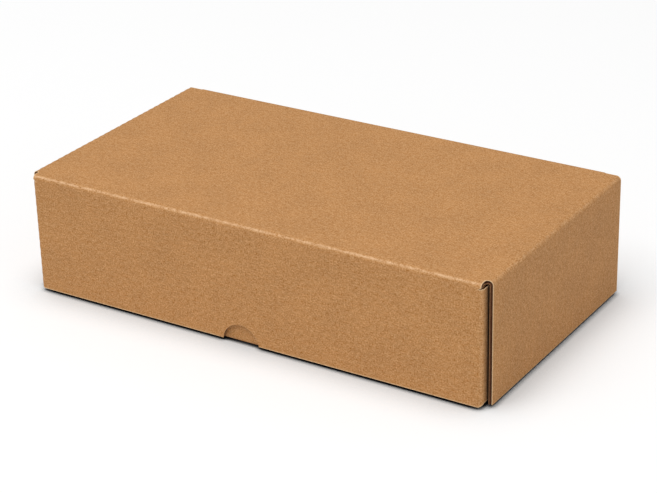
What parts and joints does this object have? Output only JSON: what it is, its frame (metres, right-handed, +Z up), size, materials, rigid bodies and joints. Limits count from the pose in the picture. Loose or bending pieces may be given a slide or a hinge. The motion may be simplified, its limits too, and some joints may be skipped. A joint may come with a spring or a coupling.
{
  "type": "die-cut mailer box",
  "caption": "Flat rectangular carton of brown corrugated board: a folded tray with a hinged full-depth lid and a thumb notch in the lid's front wall.",
  "frame": {"origin": "middle of the bottom of the closed box", "axes": "+Z up, +X along the long side to the right, -Y towards the front wall with the thumb notch"},
  "size_m": [0.35, 0.19, 0.086],
  "materials": {
    "tray_board": "matte uncoated kraft liner",
    "lid_board": "matte uncoated kraft liner"
  },
  "bodies": {
    "tray": {"tray": "tray_board"},
    "lid": {"lid": "lid_board"}
  },
  "joints": [
    {"name": "lid_hinge", "type": "hinge", "parent": "tray", "child": "lid", "pos_m": [0, 0.09436, 0.08536], "axis": [-1, 0, 0], "range_deg": [0, 170]}
  ]
}
